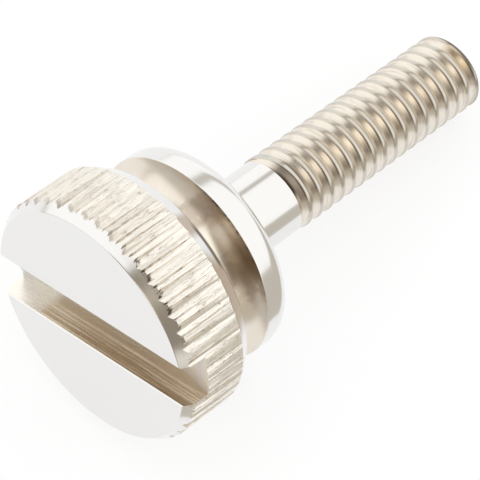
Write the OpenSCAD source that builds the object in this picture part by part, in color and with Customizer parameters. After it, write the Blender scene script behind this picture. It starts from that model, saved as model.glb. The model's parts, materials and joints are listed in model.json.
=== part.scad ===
// Knurled thumb screw with a driver slot, turned from one bar.
// It lies on its side: two knurl teeth at the back of the head and the end of the thread touch Z = 0,
// and the thread points along +X and a little down.

/* [Head] */
// Diameter over the knurl teeth
head_d = 12; // [10:0.1:16]
// Distance from the face to the end of the knurl teeth
knurl_end = 3.25; // [2.6:0.05:5]
// Number of knurl teeth, even so that grooves lie opposite each other
knurl_teeth = 46; // [36:2:60]
// Depth of the knurl grooves
knurl_depth = 0.22; // [0.15:0.01:0.35]
// Length of the bevel from the face to the teeth, along the axis
front_bevel_len = 0.5; // [0.3:0.05:0.8]
// Depth of the bevel from the face to the teeth, across the axis
front_bevel_depth = 0.37; // [0.25:0.01:0.6]
// Length of the bevel behind the teeth, along the axis
back_bevel_len = 0.7; // [0.4:0.05:1]
// Depth of the bevel behind the teeth, across the axis
back_bevel_depth = 0.45; // [0.3:0.01:0.7]

/* [Driver slot] */
// Width of the slot
slot_w = 2.2; // [1.2:0.05:3]
// Depth of the slot at the middle of the face
slot_depth = 1.85; // [1.2:0.05:2.4]
// Diameter of the disc cutter, which leaves the floor shallower at both ends
cutter_d = 56; // [40:1:80]
// Distance of the slot's middle line from the screw's axis
slot_offset = 0.2; // [0:0.05:0.4]
// Angle of the slot about the axis, from straight down
slot_turn = 72.5; // [45:0.5:135]

/* [Collar] */
// Diameter of the groove's bottom between head and collar
neck_d = 7.8; // [6.8:0.1:8.4]
// Distance from the head's back to the groove's bottom
neck_gap = 0.35; // [0.2:0.05:0.6]
// Diameter over the collar
collar_d = 10.1; // [9.4:0.1:11.4]
// Distance from the groove's bottom to the collar's sharp rim
flare_len = 1.45; // [1.2:0.05:1.8]
// Length of the collar's straight band, behind the rim
collar_band_len = 0.65; // [0.4:0.05:1.2]
// Radius of the collar's rounded back edge
collar_round_r = 0.9; // [0.5:0.05:1.2]

/* [Shank and thread] */
// Diameter of the plain shank
shank_d = 3.75; // [3.2:0.05:3.85]
// Length of the plain shank, from the collar's back to the thread
shank_len = 3.9; // [2:0.1:8]
// Outside diameter of the thread
thread_d = 3.9; // [3.85:0.05:4.5]
// Pitch of the thread
thread_pitch = 0.7; // [0.5:0.05:0.8]
// Number of turns of the thread
thread_turns = 17; // [12:1:30]

/* [Hidden] */
$fn = 96;

// Share of each tooth's step that its flat crest takes
crest_share = 0.34;
// How far a groove's flank runs out past the crest, as a share of its own length
flank_overrun_share = 0.2;
// Depth and length of the tip's chamfer, as a share of the pitch
tip_chamfer_share = 0.5;
// How far a cut runs past the surface it opens
overrun = 1;
quarter_turn = 90;
full_turn = 360;
nickel = [0.86, 0.84, 0.80];

// Radii
head_r = head_d / 2;
root_r = head_r - knurl_depth;
face_r = head_r - front_bevel_depth;
head_back_r = head_r - back_bevel_depth;
neck_r = neck_d / 2;
collar_r = collar_d / 2;
shank_r = shank_d / 2;
thread_r = thread_d / 2;
cutter_r = cutter_d / 2;

// Places along the axis, from the head's face
head_back = knurl_end + back_bevel_len;
neck_at = head_back + neck_gap;
rim_at = neck_at + flare_len;
round_at = rim_at + collar_band_len;
collar_back = round_at + collar_round_r;
thread_at = collar_back + shank_len;
full_thread_at = thread_at + thread_pitch;
tip_at = thread_at + thread_turns * thread_pitch;

// The groove is an arc that is tangent to the neck and ends at the collar's rim
flare_rise = collar_r - neck_r;
groove_r = (flare_rise * flare_rise + flare_len * flare_len) / (2 * flare_rise);

// The tip
tip_chamfer = tip_chamfer_share * thread_pitch;
tip_r = thread_r - tip_chamfer;
chamfer_at = tip_at - tip_chamfer;

// The teeth: a groove faces straight down, so two crests share the load
tooth_step = full_turn / knurl_teeth;
crest_half = crest_share * tooth_step / 2;
low_corner_r = head_r * cos(tooth_step / 2 - crest_half);

// How the screw lies
lean = atan((low_corner_r - thread_r) / (chamfer_at - knurl_end));
lift = low_corner_r * cos(lean) + knurl_end * sin(lean);
low_x = -face_r * sin(lean);
high_x = tip_at * cos(lean) + tip_r * sin(lean);
centre_x = (low_x + high_x) / 2;

function on_ring(r, angle) = [r * cos(angle), r * sin(angle)];

// The bottom of a groove, and a flank's end, run out past the head so that the crests stay round
function groove(i) = on_ring(root_r, i * tooth_step);
function flank_end(from, to) = to + flank_overrun_share * (to - from);

// One groove: the end of its first flank, its bottom and the end of its second flank
function tooth(i) = [
    flank_end(groove(i), on_ring(head_r, (i - 1 / 2) * tooth_step + crest_half)),
    groove(i),
    flank_end(groove(i), on_ring(head_r, (i + 1 / 2) * tooth_step - crest_half))
];

// Head: a bevelled disc with straight teeth around it
module knurled_head() {
    intersection() {
        rotate_extrude()
            polygon([
                [0, 0],
                [face_r, 0],
                [head_r, front_bevel_len],
                [head_r, knurl_end],
                [head_back_r, head_back],
                [0, head_back]
            ]);
        translate([0, 0, -overrun])
            linear_extrude(head_back + 2 * overrun)
                polygon([for (i = [0 : knurl_teeth - 1]) each tooth(i)]);
    }
}

// Collar: a round groove that flares to a sharp rim, a straight band and a rounded back edge
module collar() {
    rotate_extrude()
        difference() {
            union() {
                translate([0, knurl_end])
                    square([collar_r, round_at - knurl_end]);
                translate([0, knurl_end])
                    square([collar_r - collar_round_r, collar_back - knurl_end]);
                translate([collar_r - collar_round_r, round_at])
                    circle(collar_round_r);
            }
            translate([neck_r + groove_r, neck_at])
                circle(groove_r);
            translate([neck_r, knurl_end - overrun])
                square([collar_r, neck_at - knurl_end + overrun]);
        }
}

// Shank and the thread's outside: the first turn rises from the shank, and the tip is chamfered
module threaded_shank() {
    rotate_extrude()
        polygon([
            [0, round_at],
            [shank_r, round_at],
            [shank_r, thread_at],
            [thread_r, full_thread_at],
            [thread_r, chamfer_at],
            [tip_r, tip_at],
            [0, tip_at]
        ]);
}

// Disc-shaped cut for a driver, right across the face
module driver_slot() {
    rotate([0, 0, slot_turn])
        translate([0, -slot_offset, slot_depth - cutter_r])
            rotate([quarter_turn, 0, 0])
                cylinder(h = slot_w, r = cutter_r, center = true);
}

module lyre_screw() {
    color(nickel)
        translate([-centre_x, 0, lift])
            rotate([0, quarter_turn + lean, 0])
                difference() {
                    union() {
                        knurled_head();
                        collar();
                        threaded_shank();
                    }
                    driver_slot();
                }
}

lyre_screw();
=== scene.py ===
"""A nickel-plated lyre screw, lying on a pale floor.

The screw is made as a lathe hand makes it: a blank is turned, its head is knurled, a disc cutter mills the
driver slot and a die cuts the thread. The work is done in millimetres on the screw's own axis, with the
head's face at zero, and the finished piece is then laid down where the frame has it.
"""

import json
import logging
import math
import random
from dataclasses import dataclass, field
from enum import Enum
from typing import Any, Iterable, Sequence, Union

import bpy
from mathutils import Euler, Matrix, Vector


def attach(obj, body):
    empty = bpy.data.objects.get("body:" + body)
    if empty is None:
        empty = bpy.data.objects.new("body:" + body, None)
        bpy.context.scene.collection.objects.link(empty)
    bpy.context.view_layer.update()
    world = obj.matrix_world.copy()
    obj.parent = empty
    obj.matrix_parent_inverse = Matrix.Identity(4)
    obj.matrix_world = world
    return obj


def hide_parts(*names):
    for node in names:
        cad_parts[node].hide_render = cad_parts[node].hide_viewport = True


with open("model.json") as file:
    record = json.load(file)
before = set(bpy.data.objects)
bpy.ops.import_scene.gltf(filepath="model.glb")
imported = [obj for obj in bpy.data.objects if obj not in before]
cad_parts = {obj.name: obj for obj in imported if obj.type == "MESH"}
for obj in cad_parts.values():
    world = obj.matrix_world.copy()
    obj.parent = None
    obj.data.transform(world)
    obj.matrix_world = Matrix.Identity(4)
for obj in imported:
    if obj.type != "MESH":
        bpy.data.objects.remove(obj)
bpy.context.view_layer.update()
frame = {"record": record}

LOG = logging.getLogger("lyre_screw")
MM = 0.001
NODE = "lyre_screw"
BODY = "root"
# A distance in millimetres that is too small to see
HAIR = 0.001
# Length of the flat guard strip beside a rounding, as a share of the rounding's reach
GUARD_SHARE = 0.6
NOISE_MIDDLE = 0.5

Point = tuple[float, float]
Triple = tuple[float, float, float]
Colour = tuple[float, float, float, float]
# A noise texture's scale, its detail and, where it isn't the usual one, its roughness
Noise = tuple[float, ...]
Operand = Union["Value", float, Sequence[float]]
# A finish's colour, roughness and relief
Dress = tuple[Operand, Operand, "Value"]


class Finish(Enum):
    """The finishes on the screw, in the order of its material slots."""

    BRIGHT = 0
    KNURLED = 1
    MILLED = 2
    THREADED = 3
    GROOVED = 4
    DULL = 5


class Value:
    """A node socket that takes part in arithmetic."""

    def __init__(self, graph: "Graph", socket: bpy.types.NodeSocket) -> None:
        """Keep the socket and the graph that it belongs to."""
        self.graph = graph
        self.socket = socket

    def math(self, operation: str, *others: Operand) -> "Value":
        """Add one Math node on this value.

        Args:
            operation: the Math node's operation.
            others: the second and third operands, where it takes them.

        Returns:
            The node's result.
        """
        inputs = {0: self}
        for index, other in enumerate(others, start=1):
            inputs[index] = other
        return self.graph.node("ShaderNodeMath", {"operation": operation}, inputs)

    def __add__(self, other: Operand) -> "Value":
        """Sum."""
        return self.math("ADD", other)

    __radd__ = __add__

    def __sub__(self, other: Operand) -> "Value":
        """Difference."""
        return self.math("SUBTRACT", other)

    def __rsub__(self, left: float) -> "Value":
        """Difference from a number."""
        return self.graph.node("ShaderNodeMath", {"operation": "SUBTRACT"}, {0: left, 1: self})

    def __mul__(self, other: Operand) -> "Value":
        """Product."""
        return self.math("MULTIPLY", other)

    __rmul__ = __mul__

    def __truediv__(self, other: Operand) -> "Value":
        """Quotient."""
        return self.math("DIVIDE", other)

    def __abs__(self) -> "Value":
        """Size without sign."""
        return self.math("ABSOLUTE")

    def sqrt(self) -> "Value":
        """Square root."""
        return self.math("SQRT")

    def step(self, low: float, high: float) -> "Value":
        """Rise smoothly from 0 at low to 1 at high.

        Args:
            low: where the rise starts.
            high: where it ends; below low, the value falls instead.

        Returns:
            The mask.
        """
        settings = {"interpolation_type": "SMOOTHSTEP"}
        if low < high:
            ends = {1: low, 2: high, 3: 0.0, 4: 1.0}
        else:
            ends = {1: high, 2: low, 3: 1.0, 4: 0.0}
        return self.graph.node("ShaderNodeMapRange", settings, {0: self, **ends})


class Graph:
    """A node tree that is written as expressions."""

    def __init__(self, tree: bpy.types.NodeTree) -> None:
        """Take an empty tree."""
        self.tree = tree
        tree.nodes.clear()

    def node(
        self,
        kind: str,
        settings: dict[str, Any] | None = None,
        inputs: dict[Any, Operand] | None = None,
        out: Any = 0,
    ) -> Value:
        """Add any node.

        Args:
            kind: the node's type.
            settings: its properties, which are set before its sockets.
            inputs: values or links for its sockets, by place, identifier or name.
            out: the output that is wanted, by place or name.

        Returns:
            That output.
        """
        made = self.tree.nodes.new(kind)
        for name, setting in (settings or {}).items():
            setattr(made, name, setting)
        for key, operand in (inputs or {}).items():
            socket = self.find(made.inputs, key)
            if isinstance(operand, Value):
                self.tree.links.new(operand.socket, socket)
            else:
                socket.default_value = operand
        return Value(self, self.find(made.outputs, out) if made.outputs else None)

    @staticmethod
    def find(sockets: Any, key: Any) -> bpy.types.NodeSocket:
        """Find a socket by its place, its identifier or its name."""
        if isinstance(key, int):
            return sockets[key]
        for socket in sockets:
            if socket.identifier == key:
                return socket
        return sockets[key]

    def blend(self, factor: Operand, first: Operand, second: Operand) -> Value:
        """Mix two colours.

        Args:
            factor: the second colour's share.
            first: the colour at 0.
            second: the colour at 1.

        Returns:
            The mixed colour.
        """
        inputs = {"Factor_Float": factor, "A_Color": first, "B_Color": second}
        return self.node("ShaderNodeMix", {"data_type": "RGBA"}, inputs, "Result_Color")

    def join(self, x: Operand, y: Operand, z: Operand) -> Value:
        """Make a vector of three values."""
        return self.node("ShaderNodeCombineXYZ", None, {0: x, 1: y, 2: z})

    def split(self, vector: Value) -> tuple[Value, Value, Value]:
        """Take a vector apart."""
        x = self.node("ShaderNodeSeparateXYZ", None, {0: vector})
        outputs = x.socket.node.outputs
        return x, Value(self, outputs[1]), Value(self, outputs[2])

    def dot(self, vector: Value, direction: Vector) -> Value:
        """Project a vector on a fixed direction."""
        settings = {"operation": "DOT_PRODUCT"}
        return self.node("ShaderNodeVectorMath", settings, {0: vector, 1: tuple(direction)}, "Value")

    def noise(self, vector: Value, scale: float, detail: float = 3.0, roughness: float = 0.55) -> Value:
        """Add a noise texture, from 0 to 1."""
        inputs = {"Vector": vector, "Scale": scale, "Detail": detail, "Roughness": roughness}
        return self.node("ShaderNodeTexNoise", None, inputs, 0)


@dataclass(frozen=True)
class Lie:
    """How the screw lies: where its face's centre is, and which way its axis points."""

    face: Vector
    axis: Vector

    @classmethod
    def from_frame(cls, record: dict[str, Any]) -> "Lie":
        """Read the lie off the record's mounts.

        Args:
            record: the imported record.

        Returns:
            The lie, with the face at the driver slot's mount and the axis along the thread.
        """
        mounts = {mount["name"]: mount for mount in record["mounts"]}
        return cls(Vector(mounts["driver_slot"]["pos_m"]), Vector(mounts["thread"]["axis"]).normalized())

    def turn(self) -> Euler:
        """Rotation from the screw's own frame to the world: one turn about Y."""
        return Euler((0.0, math.atan2(self.axis.x, self.axis.z), 0.0))

    def matrix(self) -> Matrix:
        """Transform from millimetres on the screw's axis to metres in the world."""
        return Matrix.Translation(self.face) @ self.turn().to_matrix().to_4x4() @ Matrix.Scale(MM, 4)


class Outline:
    """A turned outline: radius and place along the axis, drawn corner by corner."""

    def __init__(self, start: Point) -> None:
        """Start at a point."""
        self.points: list[Point] = [start]

    def line(self, to: Point) -> None:
        """Go straight to a point."""
        self.points.append(to)

    def arc(self, centre: Point, radius: float, start: float, end: float, steps: int) -> None:
        """Follow an arc.

        Args:
            centre: the arc's centre.
            radius: its radius.
            start: the angle where it starts, in degrees from the radial direction.
            end: the angle where it ends.
            steps: how many straight pieces it has.
        """
        for step in range(steps + 1):
            angle = math.radians(start + (end - start) * step / steps)
            self.points.append((centre[0] + radius * math.cos(angle), centre[1] + radius * math.sin(angle)))

    def corner(self, at: Point, after: Point, radius: float, steps: int = 4) -> None:
        """Go to a corner and round it.

        Args:
            at: the sharp corner.
            after: a point on the line that follows.
            radius: the rounding radius.
            steps: how many straight pieces the rounding has.
        """
        here = Vector(at)
        back = (Vector(self.points[-1]) - here).normalized()
        ahead = (Vector(after) - here).normalized()
        half = back.angle(ahead) / 2
        reach = radius / math.tan(half)
        guard = reach * GUARD_SHARE
        self.points.append(tuple(here + back * (reach + guard)))
        for step in range(steps + 1):
            share = step / steps
            bow = (1 - share) ** 2 * (here + back * reach)
            bow += 2 * share * (1 - share) * here
            bow += share**2 * (here + ahead * reach)
            self.points.append(tuple(bow))
        self.points.append(tuple(here + ahead * (reach + guard)))


class Bench:
    """Work by hand: selecting, drawing, cutting and joining with Blender's own operators."""

    @staticmethod
    def clear() -> None:
        """Leave edit mode and deselect everything."""
        if bpy.context.object and bpy.context.object.mode != "OBJECT":
            bpy.ops.object.mode_set(mode="OBJECT")
        bpy.ops.object.select_all(action="DESELECT")

    @staticmethod
    def pick(*pieces: bpy.types.Object) -> None:
        """Select pieces, the last one active."""
        Bench.clear()
        for piece in pieces:
            piece.select_set(True)
        bpy.context.view_layer.objects.active = pieces[-1]

    @staticmethod
    def draw(name: str, points: Iterable[Vector], closed: bool = False) -> bpy.types.Object:
        """Draw a line of edges, point by point.

        Args:
            name: the new object's name.
            points: the points, in order.
            closed: whether the line ends where it starts.

        Returns:
            The new object, in edit mode with everything selected.
        """
        path = [Vector(point) for point in points]
        Bench.clear()
        bpy.ops.mesh.primitive_plane_add(size=1.0, location=(0, 0, 0))
        piece = bpy.context.object
        piece.name = name
        piece.data.name = name
        bpy.ops.object.mode_set(mode="EDIT")
        bpy.ops.mesh.merge(type="CENTER")
        bpy.ops.transform.translate(value=path[0])
        for before, after in zip(path, path[1:]):
            bpy.ops.mesh.extrude_region_move(TRANSFORM_OT_translate={"value": after - before})
        bpy.ops.mesh.select_all(action="SELECT")
        if closed:
            bpy.ops.mesh.edge_face_add()
        return piece

    @staticmethod
    def tidy(reach: float) -> None:
        """Merge doubles and turn the faces outwards, in edit mode."""
        bpy.ops.mesh.select_all(action="SELECT")
        bpy.ops.mesh.remove_doubles(threshold=reach)
        bpy.ops.mesh.normals_make_consistent(inside=False)
        bpy.ops.object.mode_set(mode="OBJECT")

    @staticmethod
    def extrude(along: Vector) -> None:
        """Pull the face that was just drawn into a closed bar."""
        bpy.ops.mesh.extrude_region_move(TRANSFORM_OT_translate={"value": along})
        Bench.tidy(HAIR)

    @staticmethod
    def copy(piece: bpy.types.Object) -> bpy.types.Object:
        """Copy a piece with its own mesh."""
        Bench.pick(piece)
        bpy.ops.object.duplicate(linked=False)
        return bpy.context.object

    @staticmethod
    def settle(piece: bpy.types.Object) -> None:
        """Move a piece's place, turn and size into its mesh."""
        Bench.pick(piece)
        bpy.ops.object.transform_apply(location=True, rotation=True, scale=True)

    @staticmethod
    def modify(piece: bpy.types.Object, kind: str, **settings: Any) -> None:
        """Add a modifier and apply it at once.

        Args:
            piece: the piece that it changes.
            kind: the modifier's type.
            settings: its properties.
        """
        Bench.pick(piece)
        modifier = piece.modifiers.new(kind.title(), kind)
        for name, setting in settings.items():
            setattr(modifier, name, setting)
        bpy.ops.object.modifier_apply(modifier=modifier.name)

    @staticmethod
    def cut(piece: bpy.types.Object, cutter: bpy.types.Object) -> None:
        """Cut a piece with a closed cutter, and throw the cutter away."""
        Bench.modify(piece, "BOOLEAN", operation="DIFFERENCE", solver="EXACT", object=cutter)
        Bench.pick(cutter)
        bpy.ops.object.delete()


@dataclass
class Head:
    """The knurled head with its bevels and its driver slot; sizes in millimetres."""

    radius: float = 5.99
    knurl_end: float = 3.25
    teeth: int = 46
    knurl_depth: float = 0.17
    front_bevel: Point = (0.36, 0.5)
    back_bevel: Point = (0.45, 0.7)
    edge_round: float = 0.05
    back_edge_round: float = 0.12
    slot_width: float = 2.2
    slot_depth: float = 1.85
    slot_lip: float = 0.05
    slot_offset: float = 0.2
    slot_turn: float = 72.5
    # How far a face on the slot's wall may lean, in degrees
    slot_wall_lean: float = 45.0
    cutter_radius: float = 28.0
    cutter_sides: int = 360
    overrun: float = 1.0
    # Half of a groove's section: across as shares of the tooth's step, down as shares of the depth
    groove_shares: tuple[Point, ...] = (
        (0.46, -0.24), (0.435, -0.02), (0.40, 0.06), (0.04, 0.94), (0.0, 1.0),
    )
    # The same for the two fine lines beside each groove, and their place as a share of the step
    line_shares: tuple[Point, ...] = ((0.125, -0.24), (0.10, 0.0), (0.0, 0.66))
    line_place_share: float = 0.31
    # How far the grooves rise towards the back, in degrees
    knurl_rise: float = 1.8
    # How much one groove differs from the next: in place, in width and in depth, as shares, and how much of
    # that it may be wider and deeper than its bar
    wander_share: float = 0.03
    width_wander_share: float = 0.14
    depth_wander_share: float = 0.25
    most_wider: float = 0.2
    most_deeper: float = 0.6
    seed: int = 11

    @property
    def back(self) -> float:
        """Place of the head's back along the axis."""
        return self.knurl_end + self.back_bevel[1]

    @property
    def face_radius(self) -> float:
        """Radius of the flat face."""
        return self.radius - self.front_bevel[0]

    def outline(self, neck: float) -> Outline:
        """Draw the head from the middle of its face to the neck behind it.

        Args:
            neck: the neck's radius.

        Returns:
            The outline so far.
        """
        rim = (self.face_radius, 0.0)
        front = (self.radius, self.front_bevel[1])
        end = (self.radius, self.knurl_end)
        back = (self.radius - self.back_bevel[0], self.back)
        line = Outline((0.0, 0.0))
        line.corner(rim, front, self.edge_round)
        line.corner(front, end, self.edge_round)
        line.corner(end, back, self.edge_round)
        line.corner(back, (neck, self.back), self.back_edge_round)
        return line

    def groove_bar(self, name: str, shares: Sequence[Point]) -> bpy.types.Object:
        """Make the bar that cuts one groove of the knurl.

        Args:
            name: the bar's name.
            shares: half of the groove's section, from its edge to its bottom.

        Returns:
            The bar, with its edge line along the axis.
        """
        step = 2 * math.pi * self.radius / self.teeth
        half = [(step * across, -self.knurl_depth * down) for across, down in shares]
        section = [(-across, out) for across, out in half[:-1]]
        section += [(across, out) for across, out in reversed(half)]
        points = [Vector((out, across, -self.overrun)) for across, out in section]
        bar = Bench.draw(name, points, closed=True)
        Bench.extrude(Vector((0, 0, self.back + 2 * self.overrun)))
        return bar

    def cut_grooves(
        self,
        blank: bpy.types.Object,
        bar: bpy.types.Object,
        place_shares: Sequence[float],
        dice: random.Random,
    ) -> None:
        """Cut one groove after another round the head, each a little different.

        Args:
            blank: the turned blank.
            bar: the bar that cuts one groove.
            place_shares: the grooves' places within each tooth's step.
            dice: the source of the differences.
        """
        places = [tooth + share for tooth in range(self.teeth) for share in place_shares]
        cutters = [bar] + [Bench.copy(bar) for _ in places[1:]]
        for place, cutter in zip(places, cutters):
            angle = (place + self.wander_share * dice.uniform(-1, 1)) * 2 * math.pi / self.teeth
            deeper = 1 + self.depth_wander_share * dice.uniform(-1, self.most_deeper)
            wider = 1 + self.width_wander_share * dice.uniform(-1, self.most_wider)
            cutter.location = (self.radius * math.cos(angle), self.radius * math.sin(angle), 0)
            cutter.rotation_euler = (0, math.radians(self.knurl_rise), angle)
            cutter.scale = (deeper, wider, 1)
            Bench.settle(cutter)
        Bench.pick(*cutters)
        bpy.ops.object.join()
        Bench.cut(blank, bpy.context.object)

    def knurl(self, blank: bpy.types.Object) -> None:
        """Press the straight teeth, then the fine lines on them.

        Args:
            blank: the turned blank.
        """
        dice = random.Random(self.seed)
        self.cut_grooves(blank, self.groove_bar("groove", self.groove_shares), (0.0,), dice)
        beside = (-self.line_place_share, self.line_place_share)
        self.cut_grooves(blank, self.groove_bar("fine_line", self.line_shares), beside, dice)

    def mill_slot(self, blank: bpy.types.Object) -> None:
        """Mill the driver slot with a disc cutter, then break its two long edges.

        Args:
            blank: the knurled blank.
        """
        turn = math.radians(self.slot_turn)
        Bench.clear()
        bpy.ops.mesh.primitive_cylinder_add(
            vertices=self.cutter_sides,
            radius=self.cutter_radius,
            depth=self.slot_width,
            location=(0, 0, 0),
            rotation=(math.pi / 2, 0, 0),
        )
        disc = bpy.context.object
        Bench.settle(disc)
        disc.location = (0, -self.slot_offset, self.slot_depth - self.cutter_radius)
        Bench.settle(disc)
        disc.rotation_euler.z = turn
        Bench.settle(disc)
        Bench.cut(blank, disc)
        half = self.slot_width / 2
        lip = self.slot_lip
        reach = self.radius + self.overrun
        section = [
            (-half - 2 * lip, -lip), (-half, lip), (half, lip), (half + 2 * lip, -lip),
        ]
        points = [Vector((-reach, across - self.slot_offset, along)) for across, along in section]
        bar = Bench.draw("slot_lip", points, closed=True)
        Bench.extrude(Vector((2 * reach, 0, 0)))
        bar.rotation_euler.z = turn
        Bench.settle(bar)
        Bench.cut(blank, bar)

    def slot_side(self) -> Vector:
        """Direction across the slot."""
        turn = math.radians(self.slot_turn)
        return Vector((-math.sin(turn), math.cos(turn), 0))

    def on_slot_wall(self, place: Vector, normal: Vector) -> bool:
        """Tell whether a point of the surface lies on one of the slot's two walls."""
        across = place.dot(self.slot_side()) + self.slot_offset
        beside = abs(abs(across) - self.slot_width / 2) < self.edge_round
        upright = abs(normal.dot(self.slot_side())) > math.cos(math.radians(self.slot_wall_lean))
        return beside and upright and 0 < place.z < self.slot_depth

    def on_slot_floor(self, place: Vector) -> bool:
        """Tell whether a point of the surface lies on the slot's floor."""
        across = place.dot(self.slot_side()) + self.slot_offset
        deepest = self.slot_depth + HAIR
        return abs(across) < self.slot_width / 2 and self.slot_depth / 2 < place.z < deepest


@dataclass
class Collar:
    """The round groove behind the head and the collar that it flares to; sizes in millimetres."""

    neck_radius: float = 3.9
    neck_gap: float = 0.35
    radius: float = 5.05
    flare_length: float = 1.45
    band_length: float = 0.65
    back_round: float = 0.9
    rim_round: float = 0.04
    fillet: float = 0.12
    flare_steps: int = 20
    back_steps: int = 10

    def neck_at(self, head: Head) -> float:
        """Place of the groove's bottom along the axis."""
        return head.back + self.neck_gap

    def rim_at(self, head: Head) -> float:
        """Place of the sharp rim along the axis."""
        return self.neck_at(head) + self.flare_length

    def back_at(self, head: Head) -> float:
        """Place of the flat back along the axis."""
        return self.rim_at(head) + self.band_length + self.back_round

    def extend(self, line: Outline, head: Head, shank: float) -> None:
        """Carry the outline on from the head's back to the foot of the shank.

        Args:
            line: the outline so far.
            head: the head that it follows.
            shank: the shank's radius.
        """
        neck_at = self.neck_at(head)
        rise = self.radius - self.neck_radius
        flare = (rise**2 + self.flare_length**2) / (2 * rise)
        centre = (self.neck_radius + flare, neck_at)
        sweep = math.degrees(math.asin(self.flare_length / flare))
        last = sweep * (1 - 1 / self.flare_steps)
        line.corner((self.neck_radius, head.back), (self.neck_radius, neck_at), self.fillet)
        line.arc(centre, flare, 180.0, 180.0 - last, self.flare_steps - 1)
        rim = (self.radius, self.rim_at(head))
        round_at = self.rim_at(head) + self.band_length
        line.corner(rim, (self.radius, round_at), self.rim_round, steps=3)
        line.arc((self.radius - self.back_round, round_at), self.back_round, 0.0, 90.0, self.back_steps)
        back_at = self.back_at(head)
        line.corner((shank, back_at), (shank, back_at + self.fillet), self.fillet)


@dataclass
class Shank:
    """The plain shank and the threaded end; sizes in millimetres."""

    radius: float = 1.875
    length: float = 3.9
    thread_radius: float = 1.95
    pitch: float = 0.7
    turns: int = 17
    chamfer: float = 0.15
    tip_taper: float = 0.04
    edge_round: float = 0.04
    # The thread groove's section from the head's side to the tip's: along and in, as shares of the pitch.
    # The last corners round the crest's shoulder.
    groove_shares: tuple[Point, ...] = (
        (-0.427, -0.03), (-0.41, 0.0), (-0.107, 0.525), (0.3, 0.118), (0.33, 0.088), (0.366, 0.057),
        (0.406, 0.033), (0.449, 0.015), (0.495, 0.004), (0.557, -0.006), (0.557, -0.03),
    )
    # How far the tip stays inside the whole length, so that its smaller chamfer stays inside the box
    tip_gap: float = 0.025
    steps_per_turn: int = 96
    # Angle about the axis, from straight down, where the groove's middle passes the thread's start
    start_turn: float = 100.0
    start_at: float = 11.06
    fade_turn_share: float = 0.3
    # Turns that the groove's cutter runs on past the tip
    spare_turns: int = 2

    def tip_at(self, foot: float) -> float:
        """Place of the tip along the axis, from the place of the shank's foot."""
        return foot + self.length + self.turns * self.pitch - self.tip_gap

    def taper(self) -> float:
        """How much the thread's radius falls for each millimetre along."""
        return self.tip_taper / (self.turns * self.pitch)

    def extend(self, line: Outline, foot: float) -> None:
        """Carry the outline on from the shank's foot to the middle of the tip.

        Args:
            line: the outline so far.
            foot: place of the collar's back along the axis.
        """
        thread_at = foot + self.length
        tip_at = self.tip_at(foot)
        end_radius = self.thread_radius - self.tip_taper
        shoulder = (end_radius, tip_at - self.chamfer)
        tip = (end_radius - self.chamfer, tip_at)
        line.line((self.radius, thread_at - self.edge_round))
        line.line((self.radius, thread_at))
        line.line((self.thread_radius - self.edge_round / 2, thread_at))
        line.line((self.thread_radius, thread_at + self.edge_round))
        line.corner(shoulder, tip, self.edge_round, steps=3)
        line.corner(tip, (0.0, tip_at), self.edge_round, steps=3)
        line.line((0.0, tip_at))

    def cut_thread(self, blank: bpy.types.Object) -> None:
        """Cut the helical groove, which fades in at the shank and runs out at the tip.

        Args:
            blank: the blank with its head finished.
        """
        points = [
            Vector((self.thread_radius - deep * self.pitch, 0, self.start_at + along * self.pitch))
            for along, deep in self.groove_shares
        ]
        groove = Bench.draw("thread_groove", points, closed=True)
        bpy.ops.mesh.delete(type="ONLY_FACE")
        bpy.ops.object.mode_set(mode="OBJECT")
        groove.rotation_euler.z = math.radians(self.start_turn)
        Bench.settle(groove)
        Bench.modify(
            groove,
            "SCREW",
            angle=2 * math.pi,
            screw_offset=self.pitch,
            iterations=self.turns + self.spare_turns,
            steps=self.steps_per_turn,
            render_steps=self.steps_per_turn,
            use_smooth_shade=False,
        )
        self.fit_groove(groove, len(points))
        Bench.pick(groove)
        bpy.ops.object.mode_set(mode="EDIT")
        bpy.ops.mesh.select_all(action="SELECT")
        bpy.ops.mesh.fill_holes(sides=0)
        Bench.tidy(HAIR)
        Bench.cut(blank, groove)

    def fit_groove(self, groove: bpy.types.Object, ring: int) -> None:
        """Lift the groove cutter's first rings out of the metal, and let it follow the taper.

        Args:
            groove: the swept cutter.
            ring: how many points one ring has.
        """
        fade = self.fade_turn_share * self.steps_per_turn
        depth = self.thread_radius - min(math.hypot(v.co.x, v.co.y) for v in groove.data.vertices)
        for vertex in groove.data.vertices:
            left = max(1 - (vertex.index // ring) / fade, 0)
            out = math.hypot(vertex.co.x, vertex.co.y)
            moved = depth * left**2 - self.taper() * max(vertex.co.z - self.start_at, 0)
            vertex.co.x *= (out + moved) / out
            vertex.co.y *= (out + moved) / out


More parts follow.
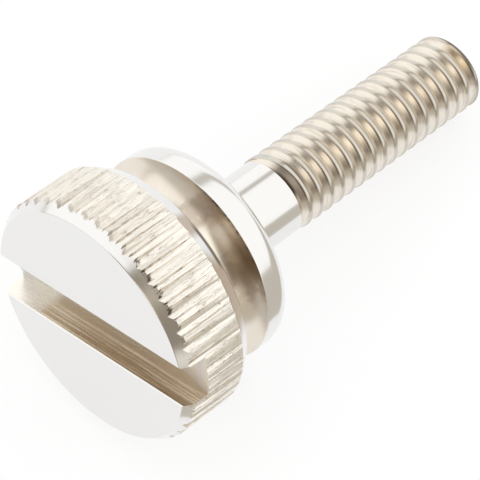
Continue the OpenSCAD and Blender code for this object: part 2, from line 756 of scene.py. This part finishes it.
@dataclass
class Screw:
    """The whole screw, turned from one bar."""

    head: Head = field(default_factory=Head)
    collar: Collar = field(default_factory=Collar)
    shank: Shank = field(default_factory=Shank)
    spin_steps: int = 230
    merge_reach: float = 0.0005
    # How deep the knurl's finish reaches, as a share of the knurl's depth, and how far under the bevels it
    # starts, in millimetres
    knurl_finish_share: float = 1.2
    knurl_finish_gap: float = 0.004
    smooth_angle: float = 31.0

    def turn_blank(self) -> bpy.types.Object:
        """Turn the blank: spin its outline about the axis."""
        line = self.head.outline(self.collar.neck_radius)
        self.collar.extend(line, self.head, self.shank.radius)
        self.shank.extend(line, self.collar.back_at(self.head))
        blank = Bench.draw("lyre_screw_body", [Vector((out, 0, along)) for out, along in line.points])
        bpy.ops.mesh.spin(
            steps=self.spin_steps,
            angle=2 * math.pi,
            use_auto_merge=True,
            center=(0, 0, 0),
            axis=(0, 0, 1),
        )
        Bench.tidy(self.merge_reach)
        return blank

    def finish_of(self, place: Vector, normal: Vector) -> Finish:
        """Say which finish a point of the surface has.

        Args:
            place: the point, in the screw's own frame.
            normal: the surface's direction there.

        Returns:
            The finish there.
        """
        out = math.hypot(place.x, place.y)
        if self.head.on_slot_wall(place, normal):
            return Finish.MILLED
        if self.head.on_slot_floor(place):
            return Finish.DULL
        knurl_root = self.head.radius - self.head.knurl_depth * self.knurl_finish_share
        if place.z < self.head.back and out > knurl_root:
            on_bevel = place.z < self.head.front_bevel[1] or place.z > self.head.knurl_end
            if not on_bevel or out < self.bevel_radius(place.z) - self.knurl_finish_gap:
                return Finish.KNURLED
        if place.z > self.collar.back_at(self.head) + self.shank.length - self.shank.pitch / 2:
            return Finish.THREADED
        if self.head.knurl_end < place.z < self.collar.rim_at(self.head):
            return Finish.GROOVED
        return Finish.BRIGHT

    def bevel_radius(self, along: float) -> float:
        """Radius of the head's smooth envelope at a place along the axis."""
        head = self.head
        if along < head.front_bevel[1]:
            return head.face_radius + head.front_bevel[0] * along / head.front_bevel[1]
        return head.radius - head.back_bevel[0] * (along - head.knurl_end) / head.back_bevel[1]

    def build(self, lie: Lie, materials: dict[Finish, bpy.types.Material]) -> bpy.types.Object:
        """Make the screw, dress it and lay it down.

        Args:
            lie: where it lies.
            materials: the material for each finish.

        Returns:
            The finished piece.
        """
        body = self.turn_blank()
        LOG.info("blank: %d faces", len(body.data.polygons))
        self.head.knurl(body)
        LOG.info("knurl: %d faces", len(body.data.polygons))
        self.head.mill_slot(body)
        LOG.info("slot: %d faces", len(body.data.polygons))
        self.shank.cut_thread(body)
        LOG.info("thread: %d faces", len(body.data.polygons))
        body.data.materials.clear()
        for finish in Finish:
            body.data.materials.append(materials[finish])
        for polygon in body.data.polygons:
            polygon.material_index = self.finish_of(polygon.center, polygon.normal).value
        body.matrix_world = lie.matrix()
        Bench.settle(body)
        bpy.ops.object.shade_smooth_by_angle(angle=math.radians(self.smooth_angle))
        return body


@dataclass(frozen=True)
class Grain:
    """A noise pattern over three coordinates: how often it changes along each, and how fine it is."""

    often: Triple
    detail: float = 3.0
    roughness: float = 0.55

    def over(self, *ways: Value) -> Value:
        """Lay the pattern over the coordinates; it runs from 0 to 1."""
        graph = ways[0].graph
        spread = graph.join(*(way * often for way, often in zip(ways, self.often)))
        return graph.noise(spread, 1.0, self.detail, self.roughness)


@dataclass(frozen=True)
class Stretch:
    """A stretch round the screw's axis with soft ends; degrees from straight up."""

    middle: float
    inner: float
    outer: float

    def mask(self, angle: Value) -> Value:
        """Give 1 within the stretch and 0 outside it."""
        away = abs(angle - math.radians(self.middle))
        return away.step(math.radians(self.outer), math.radians(self.inner))


@dataclass(frozen=True)
class Surface:
    """The places that a material's patterns follow, on the screw's own axes in millimetres."""

    lie: Lie
    place: Value
    x: Value
    y: Value
    along: Value
    out: Value
    angle: Value

    @classmethod
    def of(cls, graph: Graph, lie: Lie) -> "Surface":
        """Work out the places for one material.

        Args:
            graph: the material's graph.
            lie: how the screw lies.

        Returns:
            The places, with the angle from straight up.
        """
        back = lie.matrix().inverted()
        inputs = {
            "Vector": graph.node("ShaderNodeTexCoord", None, None, "Object"),
            "Location": tuple(back.to_translation()),
            "Rotation": tuple(back.to_euler()),
            "Scale": tuple(back.to_scale()),
        }
        place = graph.node("ShaderNodeMapping", {"vector_type": "POINT"}, inputs)
        x, y, along = graph.split(place)
        out = (x * x + y * y).sqrt()
        return cls(lie, place, x, y, along, out, (0.0 - y).math("ARCTAN2", 0.0 - x))

    def facing(self) -> Value:
        """Give how far the surface faces round the axis, from -1 to 1."""
        graph = self.place.graph
        normal = graph.node("ShaderNodeNewGeometry", None, None, "Normal")
        turn = self.lie.turn().to_matrix()
        return (self.x * graph.dot(normal, turn.col[1]) - self.y * graph.dot(normal, turn.col[0])) / self.out


@dataclass(frozen=True)
class Nickel:
    """Nickel plate: the metal and the colours that its finishes share.

    In every finish, a pair of ends is where a mask starts to rise and where it is full, and a share is how
    much a mask counts. Roughness is a first amount and what each pattern adds to it. Relief is in metres.
    """

    lie: Lie
    screw: Screw
    name: str = "nickel"
    relief: float = 0.0
    plate: Colour = (0.83, 0.825, 0.815, 1.0)
    cream: Colour = (0.92, 0.885, 0.815, 1.0)
    warm_white: Colour = (1.0, 0.915, 0.79, 1.0)
    tan: Colour = (0.83, 0.775, 0.69, 1.0)
    # Dark patches: painted dark reflections in the groove behind the head, and darker patches on the bevel
    # at its back
    dark_patch: Colour = (0.46, 0.36, 0.265, 1.0)
    # Tarnish, which also serves as painted shade on the knurl's flanks, under the slot's edge and on the
    # thread's shoulders
    tarnish_and_shade: Colour = (0.42, 0.34, 0.25, 1.0)
    # Dark colour of painted shade: notch ends, the groove's bottom, the bevel's back line, the first groove
    # and the tip's edge
    painted_shade_colour: Colour = (0.12, 0.09, 0.065, 1.0)

    def dress(self, graph: Graph, on: Surface) -> Dress:
        """Give the finish's colour, roughness and relief."""
        raise NotImplementedError

    def make(self) -> bpy.types.Material:
        """Make the finish's material."""
        material = bpy.data.materials.new(self.name)
        material.use_nodes = True
        graph = Graph(material.node_tree)
        colour, roughness, height = self.dress(graph, Surface.of(graph, self.lie))
        raised = {"Height": height, "Distance": self.relief, "Strength": 1.0}
        bump = graph.node("ShaderNodeBump", None, raised)
        inputs = {"Base Color": colour, "Roughness": roughness, "Metallic": 1.0, "Normal": bump}
        shader = graph.node("ShaderNodeBsdfPrincipled", None, inputs)
        graph.node("ShaderNodeOutputMaterial", None, {"Surface": shader})
        return material

    @staticmethod
    def total(shares: Sequence[float], *masks: Value) -> Value:
        """Add masks, each by its share, to the first share."""
        result = shares[0]
        for share, mask in zip(shares[1:], masks):
            result = result + share * mask
        return result

    def slot_ways(self, on: Surface) -> tuple[Value, Value]:
        """Give the places along the slot and across it."""
        turn = math.radians(self.screw.head.slot_turn)
        return on.x * math.cos(turn) + on.y * math.sin(turn), on.y * math.cos(turn) - on.x * math.sin(turn)


@dataclass(frozen=True)
class BrightNickel(Nickel):
    """Turned and plated: face, front bevel, collar and shank."""

    name: str = "bright_nickel"
    relief: float = 0.4e-6
    cloudy: Colour = (0.84, 0.825, 0.80, 1.0)
    cloud: Noise = (0.55, 2.0)
    cloud_ends: Point = (0.35, 0.7)
    cloud_share: float = 0.35
    turning: Grain = Grain((9.0, 9.0, 0.6), 4.0)
    roughness: Triple = (0.09, 0.08, 0.05)

    def dress(self, graph: Graph, on: Surface) -> Dress:
        """Give the finish's colour, roughness and relief."""
        lines = self.turning.over(on.out, on.along, on.angle)
        cloud = graph.noise(on.place, *self.cloud)
        colour = graph.blend(cloud.step(*self.cloud_ends) * self.cloud_share, self.plate, self.cloudy)
        return colour, self.total(self.roughness, lines, cloud), lines


@dataclass(frozen=True)
class KnurledNickel(Nickel):
    """Pressed teeth: cream crests with scratches, brown in the grooves."""

    name: str = "knurled_nickel"
    relief: float = 20e-6
    # A groove's brown, by shares of the knurl's depth
    groove_ends: Point = (0.5, 0.95)
    groove_share: float = 0.4
    # Painted shade on a tooth's two flanks, one side darker than the other, by how far they face round the
    # axis
    flank_ends: Point = (0.2, 0.6)
    flank_shares: Point = (0.25, 0.06)
    # Scratches along the teeth, broken up by specks
    pressing: Grain = Grain((42.0, 0.5, 2.0), 3.0, 0.6)
    scratch_ends: Point = (0.025, 0.0)
    scratch_speck_ends: Point = (0.3, 0.6)
    scratch_share: float = 0.6
    scratch_depth_share: float = 0.25
    # Specks and dots of tarnish
    speck: Noise = (2.4, 4.0, 0.6)
    speck_ends: Point = (0.60, 0.75)
    speck_share: float = 0.25
    dot: Noise = (6.0, 2.0)
    dot_ends: Point = (0.66, 0.72)
    dot_share: float = 0.5
    # Painted shade in the grooves' front ends: how deep under the bevel, how far the flank faces round, in
    # which specks, and where it is darkest
    notch_ends: Point = (0.20, 0.10)
    notch_flank_ends: Point = (0.1, 0.35)
    notch_speck_ends: Point = (0.3, 0.45)
    notch_shares: Point = (0.3, 0.7)
    notch_stretch: Stretch = Stretch(28.6, 11.5, 24.0)
    roughness: Point = (0.2, 0.2)

    def dress(self, graph: Graph, on: Surface) -> Dress:
        """Give the finish's colour, roughness and relief."""
        head = self.screw.head
        groove = on.out.step(*(head.radius - head.knurl_depth * share for share in self.groove_ends))
        facing = on.facing()
        flanks = (facing.step(*self.flank_ends), (0.0 - facing).step(*self.flank_ends))
        scratch = self.pressing.over(on.angle, on.along, on.out)
        scratches = abs(scratch - NOISE_MIDDLE).step(*self.scratch_ends)
        specks = graph.noise(on.place, *self.speck)
        dots = graph.noise(on.place, *self.dot).step(*self.dot_ends)
        # Tarnish in the grooves, painted shade on the flanks by the way they face, then scratches, specks
        # and dots
        wear_and_shade = groove * self.groove_share
        wear_and_shade += self.total((0.0, *self.flank_shares), *flanks)
        wear_and_shade += scratches * self.scratch_share * specks.step(*self.scratch_speck_ends)
        wear_and_shade += specks.step(*self.speck_ends) * self.speck_share
        wear_and_shade += dots * self.dot_share
        colour = graph.blend(wear_and_shade.math("MINIMUM", 1.0), self.cream, self.tarnish_and_shade)
        # Painted shade in the notches where the grooves meet the front bevel, on one flank
        bevel = head.face_radius + on.along * (head.front_bevel[0] / head.front_bevel[1])
        notch = (bevel - on.out).step(*self.notch_ends) * facing.step(*self.notch_flank_ends)
        painted_shade = self.total(self.notch_shares, self.notch_stretch.mask(on.angle))
        colour = graph.blend(notch * specks.step(*self.notch_speck_ends) * painted_shade, colour, self.painted_shade_colour)
        height = scratch - scratches * self.scratch_depth_share
        return colour, self.total(self.roughness, scratch), height


@dataclass(frozen=True)
class MilledNickel(Nickel):
    """Walls of the milled slot: brown, with streaks along the cutter's way; ends in millimetres."""

    name: str = "milled_nickel"
    relief: float = 12e-6
    milled_brown: Colour = (0.66, 0.535, 0.395, 1.0)
    milling: Grain = Grain((0.16, 8.0, 8.0), 4.0, 0.6)
    streak_ends: Point = (0.40, 0.62)
    # Painted shade under the slot's edge, on one half of its length, and in streaks near its floor
    edge_ends: Point = (0.16, 0.05)
    edge_length_ends: Point = (1.0, -2.0)
    deep_ends: Point = (0.95, 1.2)
    deep_streak_ends: Point = (0.3, 0.55)
    painted_shade_share: float = 0.6
    # A painted reflection makes the slot's far end paler
    pale_ends: Point = (3.1, 3.9)
    roughness: Point = (0.2, 0.15)

    def dress(self, graph: Graph, on: Surface) -> Dress:
        """Give the finish's colour, roughness and relief."""
        length, across = self.slot_ways(on)
        streak = self.milling.over(length, across, on.along)
        colour = graph.blend(streak.step(*self.streak_ends), self.milled_brown, self.warm_white)
        # Painted shade under the slot's edge and deep in the slot
        edge = on.along.step(*self.edge_ends) * length.step(*self.edge_length_ends)
        deep = on.along.step(*self.deep_ends) * streak.step(*self.deep_streak_ends)
        colour = graph.blend(edge.math("MAXIMUM", deep) * self.painted_shade_share, colour, self.tarnish_and_shade)
        # Painted reflection: the slot's far end paler
        colour = graph.blend(length.step(*self.pale_ends), colour, self.cream)
        return colour, self.total(self.roughness, streak), streak


@dataclass(frozen=True)
class DullNickel(Nickel):
    """Slot floor: pale and dull, with faint cutter marks across its length."""

    name: str = "dull_nickel"
    relief: float = 3e-6
    milling: Grain = Grain((7.0, 2.0, 1.0), 3.0)
    mark_ends: Point = (0.35, 0.7)
    roughness: Point = (0.5, 0.15)

    def dress(self, graph: Graph, on: Surface) -> Dress:
        """Give the finish's colour, roughness and relief."""
        length, _ = self.slot_ways(on)
        marks = self.milling.over(length, on.along, on.y)
        colour = graph.blend(marks.step(*self.mark_ends), self.plate, self.cream)
        return colour, self.total(self.roughness, marks), marks


@dataclass(frozen=True)
class GroovedNickel(Nickel):
    """Bevel at the head's back and turned groove behind it: tan, with painted dark reflections in the groove
    and darker patches on the bevel; ends in millimetres.
    """

    name: str = "grooved_nickel"
    relief: float = 2e-6
    brown: Colour = (0.82, 0.73, 0.62, 1.0)
    turning: Grain = Grain((14.0, 14.0, 0.8), 3.0)
    cloud: Noise = (0.9, 3.0)
    cloud_ends: Point = (0.4, 0.65)
    cloud_share: float = 0.6
    # The groove's two painted dark reflections with ragged ends, and the painted highlight in the gap
    # between them
    blotch: Noise = (1.5, 3.0)
    blotch_sway: float = 0.6
    dark_reflections: tuple[Stretch, Stretch] = (Stretch(6.0, 2.0, 12.0), Stretch(50.0, 5.0, 19.0))
    dark_reflection_shares: Point = (0.6, 0.65)
    gap: Stretch = Stretch(25.0, 4.0, 12.0)
    gap_share: float = 0.8
    # Painted shade in the groove's bottom, measured along from the neck, and in specks inside the collar's
    # rim
    bottom_ends: Point = (0.6, 0.4)
    bottom_share: float = 0.6
    rim_ends: Point = (0.16, 0.06)
    rim_speck: Noise = (3.5, 2.0)
    rim_speck_ends: Point = (0.45, 0.6)
    rim_stretch: Stretch = Stretch(24.0, 16.0, 34.0)
    rim_share: float = 0.85
    # The bevel: its soft end at the head's back, its darker stretch and spot, and a line near each of its
    # edges, the one near the back painted shade
    bevel_ends: Point = (0.04, -0.04)
    bevel_dark_stretch: Stretch = Stretch(47.0, 11.0, 24.0)
    bevel_spot: Stretch = Stretch(13.0, 3.0, 8.0)
    bevel_spot_share: float = 0.8
    near_line_gap: float = 0.1
    near_line_ends: Point = (0.14, 0.06)
    near_line_share: float = 0.8
    far_line_gap: float = 0.12
    far_line_ends: Point = (0.14, 0.08)
    far_line_share: float = 0.9
    far_line: Stretch = Stretch(25.0, 7.0, 14.0)
    roughness: Triple = (0.2, 0.1, -0.08)

    def groove(self, graph: Graph, on: Surface) -> Value:
        """Give the groove's colour."""
        collar = self.screw.collar
        cloud = graph.noise(on.place, *self.cloud)
        colour = graph.blend(cloud.step(*self.cloud_ends) * self.cloud_share, self.tan, self.brown)
        about = on.angle + (graph.noise(on.place, *self.blotch) - NOISE_MIDDLE) * self.blotch_sway
        # Painted dark reflections on two stretches of the groove, and a painted highlight between them
        first, second = (dark_patch.mask(about) * share for dark_patch, share in zip(self.dark_reflections, self.dark_reflection_shares))
        colour = graph.blend(first.math("MAXIMUM", second), colour, self.dark_patch)
        colour = graph.blend(self.gap.mask(on.angle) * self.gap_share, colour, self.warm_white)
        # Painted shade in the groove's bottom and in specks inside the collar's rim
        bottom = on.along.step(*(collar.neck_at(self.screw.head) + end for end in self.bottom_ends))
        specks = graph.noise(on.place, *self.rim_speck).step(*self.rim_speck_ends)
        rim = on.out.step(*(collar.radius - end for end in self.rim_ends)) * specks
        rim *= self.rim_stretch.mask(on.angle)
        painted_shade = (bottom * self.bottom_share).math("MAXIMUM", rim * self.rim_share)
        return graph.blend(painted_shade, colour, self.painted_shade_colour)

    def bevel(self, graph: Graph, on: Surface) -> Value:
        """Give the bevel's colour."""
        head = self.screw.head
        # Darker on one stretch round the axis and in one spot
        dark_patch = self.bevel_dark_stretch.mask(on.angle)
        spot = self.bevel_spot.mask(on.angle) * self.bevel_spot_share
        colour = graph.blend(dark_patch.math("MAXIMUM", spot), self.plate, self.dark_patch)
        near = abs(on.along - (head.knurl_end + self.near_line_gap)).step(*self.near_line_ends) * dark_patch
        # Painted shade: a dark line near the bevel's back edge, on one stretch
        far = abs(on.along - (head.back - self.far_line_gap)).step(*self.far_line_ends)
        far *= self.far_line.mask(on.angle)
        colour = graph.blend(near * self.near_line_share, colour, self.tarnish_and_shade)
        return graph.blend(far * self.far_line_share, colour, self.painted_shade_colour)

    def dress(self, graph: Graph, on: Surface) -> Dress:
        """Give the finish's colour, roughness and relief."""
        lines = self.turning.over(on.out, on.along, on.angle)
        on_bevel = on.along.step(*(self.screw.head.back + end for end in self.bevel_ends))
        colour = graph.blend(on_bevel, self.groove(graph, on), self.bevel(graph, on))
        return colour, self.total(self.roughness, lines, on_bevel), lines


@dataclass(frozen=True)
class ThreadedNickel(Nickel):
    """Cut thread: bright crests, tan flanks, brown roots; ends as shares of the pitch, in from the crest."""

    name: str = "threaded_nickel"
    relief: float = 1.5e-6
    crest: Colour = (0.62, 0.60, 0.555, 1.0)
    gold: Colour = (0.72, 0.60, 0.44, 1.0)
    flank_ends: Point = (0.01, 0.08)
    root_ends: Point = (0.34, 0.48)
    cutting: Grain = Grain((22.0, 22.0, 1.5), 4.0)
    cloud: Noise = (2.2, 3.0)
    streak: Grain = Grain((8.0, 8.0, 1.2), 2.0)
    streak_ends: Point = (0.5, 0.7)
    streak_share: float = 0.3
    # Tarnish in the roots, more where it is cloudy, and painted shade in a line on each shoulder, more on
    # one stretch
    root_shares: Point = (0.35, 0.4)
    shoulder: float = 0.06
    shoulder_ends: Point = (0.05, 0.02)
    shoulder_shares: Point = (0.3, 0.6)
    shoulder_stretch: Stretch = Stretch(26.0, 24.0, 50.0)
    # Painted shade on the first groove's flank and root, in turns from the thread's start
    first_ends: Point = (1.2, 0.7)
    first_shares: Triple = (0.0, 0.65, 0.3)
    first_stretch: Stretch = Stretch(18.0, 16.0, 40.0)
    # The tip's end face lies deeper in than any groove, and gets neither the gold nor the painted shade
    outside_ends: Point = (0.6, 0.4)
    # Gold on the last groove, in turns before the tip, and painted shade at the tip's edge, in chamfers
    # before it
    last_ends: Point = (1.1, 0.7)
    last_cloud_ends: Point = (0.3, 0.55)
    last_stretch: Stretch = Stretch(14.0, 16.0, 34.0)
    edge_ends: Point = (2.6, 2.0)
    edge_shares: Point = (0.25, 0.65)
    edge_stretch: Stretch = Stretch(5.0, 25.0, 50.0)
    roughness: Triple = (0.14, 0.08, 0.08)

    def dress(self, graph: Graph, on: Surface) -> Dress:
        """Give the finish's colour, roughness and relief."""
        shank = self.screw.shank
        foot = self.screw.collar.back_at(self.screw.head)
        start_at = foot + shank.length
        tip_at = shank.tip_at(foot)
        inward = (shank.thread_radius - (on.along - start_at) * shank.taper() - on.out) / shank.pitch
        flank = inward.step(*self.flank_ends)
        root = inward.step(*self.root_ends)
        outside = inward.step(*self.outside_ends)
        lines = self.cutting.over(on.out, on.along, on.angle)
        cloud = graph.noise(on.place, *self.cloud)
        streak = self.streak.over(on.out, on.along, on.angle).step(*self.streak_ends)
        colour = graph.blend(flank, self.crest, self.tan)
        colour = graph.blend(streak * flank * self.streak_share, colour, self.tarnish_and_shade)
        # Painted shade in a line on each crest's shoulder; with the roots' tarnish it makes the brown
        shoulder = abs(inward - self.shoulder).step(*self.shoulder_ends)
        brown = root * self.total(self.root_shares, cloud)
        brown += shoulder * self.total(self.shoulder_shares, self.shoulder_stretch.mask(on.angle))
        colour = graph.blend(brown, colour, self.tarnish_and_shade)
        # Painted shade on the first groove
        first = on.along.step(*(start_at + end * shank.pitch for end in self.first_ends))
        first *= self.first_stretch.mask(on.angle)
        colour = graph.blend(first * self.total(self.first_shares, flank, root), colour, self.painted_shade_colour)
        last = on.along.step(*(tip_at - end * shank.pitch for end in self.last_ends)) * flank * outside
        last *= cloud.step(*self.last_cloud_ends) * self.last_stretch.mask(on.angle)
        colour = graph.blend(last, colour, self.gold)
        # Painted shade at the tip's edge, darker on one stretch
        edge = on.along.step(*(tip_at - end * shank.chamfer for end in self.edge_ends)) * outside
        painted_shade = edge * self.total(self.edge_shares, self.edge_stretch.mask(on.angle))
        colour = graph.blend(painted_shade, colour, self.painted_shade_colour)
        return colour, self.total(self.roughness, lines, flank), lines


FINISHES: dict[Finish, type[Nickel]] = {
    Finish.BRIGHT: BrightNickel,
    Finish.KNURLED: KnurledNickel,
    Finish.MILLED: MilledNickel,
    Finish.THREADED: ThreadedNickel,
    Finish.GROOVED: GroovedNickel,
    Finish.DULL: DullNickel,
}


def direction(azimuth: float, elevation: float) -> Vector:
    """Give the direction at an azimuth from +X and an elevation, both in degrees."""
    turn = math.radians(azimuth)
    rise = math.radians(elevation)
    return Vector((math.cos(turn) * math.cos(rise), math.sin(turn) * math.cos(rise), math.sin(rise)))


@dataclass(frozen=True)
class PhotoCamera:
    """The photograph's viewpoint, with its aim measured from the face's centre in millimetres."""

    azimuth: float = -134.26
    elevation: float = 61.42
    aim: Triple = (6.85, -2.16, 1.76)
    distance: float = 127.9
    focal_px: float = 3000.0
    frame_px: float = 480.0
    sensor: float = 36.0
    # The nearest and the farthest that it sees, as shares of its distance
    clip_shares: Point = (0.01, 100.0)

    def place(self, lie: Lie) -> None:
        """Set the camera up.

        Args:
            lie: where the screw lies.
        """
        aim = lie.face + Vector(self.aim) * MM
        towards = direction(self.azimuth, self.elevation)
        Bench.clear()
        bpy.ops.object.camera_add(location=aim + towards * self.distance * MM)
        camera = bpy.context.object
        camera.name = "photo_camera"
        camera.rotation_euler = towards.to_track_quat("Z", "Y").to_euler()
        camera.data.sensor_width = self.sensor
        camera.data.sensor_height = self.sensor
        camera.data.lens = self.focal_px / self.frame_px * self.sensor
        near, far = (self.distance * MM * share for share in self.clip_shares)
        camera.data.clip_start = near
        camera.data.clip_end = far
        bpy.context.scene.camera = camera


@dataclass(frozen=True)
class Spot:
    """A round place in the surroundings, with a soft edge; angles in degrees."""

    azimuth: float
    elevation: float
    inner: float
    outer: float

    def mask(self, graph: Graph, way: Value) -> Value:
        """Rise from 0 outside to 1 inside.

        Args:
            graph: the world's graph.
            way: the direction that is looked in.

        Returns:
            The mask.
        """
        near = graph.dot(way, direction(self.azimuth, self.elevation))
        return near.step(math.cos(math.radians(self.outer)), math.cos(math.radians(self.inner)))


@dataclass(frozen=True)
class Studio:
    """A white tent over a pale table that ends in front, and the dark room that the camera stands in."""

    lie: Lie
    # The table's corners in millimetres: left and front, right and back
    table: tuple[Point, Point] = ((-45.0, -9.0), (400.0, 400.0))
    table_colour: Colour = (0.97, 0.97, 0.97, 1.0)
    table_glow_share: float = 0.72
    table_glow_strength: float = 1.045
    white: Colour = (1.0, 1.0, 1.0, 1.0)
    # What the metal mirrors
    tent: Colour = (1.16, 1.15, 1.13, 1.0)
    room: Colour = (0.30, 0.255, 0.195, 1.0)
    room_lamp: Colour = (1.45, 1.32, 1.13, 1.0)
    room_glow: Colour = (0.52, 0.455, 0.37, 1.0)
    room_wall: Colour = (0.86, 0.81, 0.73, 1.0)
    room_corner: Colour = (0.15, 0.115, 0.075, 1.0)
    under_table: Colour = (0.60, 0.555, 0.49, 1.0)
    seam: Colour = (0.60, 0.565, 0.51, 1.0)
    # The tent's opening with a smaller one beside it, and in the room behind it a dark corner, a lamp, its
    # glow and a pale wall: azimuth and elevation of the middle, and the angles from there where each starts
    # to fade and where it ends
    opening: Spot = Spot(212.0, 18.0, 42.0, 50.0)
    side: Spot = Spot(169.0, 43.0, 9.0, 14.0)
    corner: Spot = Spot(224.0, 4.0, 6.0, 11.5)
    lamp: Spot = Spot(201.0, 34.5, 8.0, 19.0)
    glow: Spot = Spot(215.0, 22.0, 4.0, 12.0)
    wall: Spot = Spot(243.0, -6.0, 8.0, 19.0)
    # Where the table starts below the horizon, and how far down the room fades, as shares of straight down
    horizon_ends: Point = (0.01, -0.01)
    room_end: float = 0.35
    # A seam of the tent, along the screw's axis
    seam_way: Triple = (0.642, 0.465, 0.609)
    seam_side_ends: Point = (0.14, 0.05)
    seam_way_ends: Point = (0.5, 0.8)

    def floor(self) -> None:
        """Lay the pale table, which keeps the screw's shadow."""
        (left, front), (right, back) = self.table
        middle = Vector(((left + right) / 2, (front + back) / 2, 0)) * MM
        Bench.clear()
        bpy.ops.mesh.primitive_plane_add(size=MM, location=middle)
        floor = bpy.context.object
        floor.name = "floor"
        floor.scale = (right - left, back - front, 1)
        Bench.settle(floor)
        material = bpy.data.materials.new("pale_floor")
        material.use_nodes = True
        graph = Graph(material.node_tree)
        matte = graph.node("ShaderNodeBsdfDiffuse", None, {"Color": self.table_colour})
        lit = {"Color": self.white, "Strength": self.table_glow_strength}
        glow = graph.node("ShaderNodeEmission", None, lit)
        mixed = graph.node("ShaderNodeMixShader", None, {0: self.table_glow_share, 1: matte, 2: glow})
        graph.node("ShaderNodeOutputMaterial", None, {"Surface": mixed})
        floor.data.materials.append(material)

    def world(self) -> None:
        """Hang the tent: white to the eye, with its opening and the room in what the metal mirrors."""
        world = bpy.data.worlds.new("white_tent")
        world.use_nodes = True
        bpy.context.scene.world = world
        graph = Graph(world.node_tree)
        way = graph.node("ShaderNodeTexCoord", None, None, "Generated")
        seam_way = Vector(self.seam_way)
        seam_side = self.lie.axis.cross(seam_way).normalized()
        seam = abs(graph.dot(way, seam_side)).step(*self.seam_side_ends)
        seam *= graph.dot(way, seam_way).step(*self.seam_way_ends)
        seen = graph.blend(seam, self.tent, self.seam)
        up = graph.dot(way, Vector((0, 0, 1)))
        seen = graph.blend(up.step(*self.horizon_ends), seen, self.under_table)
        above = up.step(-self.room_end, 0.0)
        for spot, colour in (
            (self.opening, self.room),
            (self.side, self.room_corner),
            (self.corner, self.room_corner),
            (self.wall, self.room_wall),
            (self.glow, self.room_glow),
            (self.lamp, self.room_lamp),
        ):
            seen = graph.blend(spot.mask(graph, way) * above, seen, colour)
        glossy = graph.node("ShaderNodeLightPath", None, None, "Is Glossy Ray")
        colour = graph.blend(glossy, self.white, seen)
        light = graph.node("ShaderNodeBackground", None, {"Color": colour, "Strength": 1.0})
        graph.node("ShaderNodeOutputWorld", None, {"Surface": light})


def main() -> None:
    """Build the screw, its stage, its light and its camera."""
    logging.basicConfig(level=logging.INFO, format="%(name)s: %(message)s")
    bpy.context.scene.view_settings.view_transform = "Standard"
    lie = Lie.from_frame(frame["record"])
    PhotoCamera().place(lie)
    LOG.info("camera placed")
    screw = Screw()
    materials = {finish: nickel(lie, screw).make() for finish, nickel in FINISHES.items()}
    body = screw.build(lie, materials)
    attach(body, BODY)
    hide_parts(NODE)
    LOG.info("screw built: %d faces", len(body.data.polygons))
    studio = Studio(lie)
    studio.floor()
    studio.world()
    LOG.info("floor and tent set")


if __name__ == "__main__":
    main()
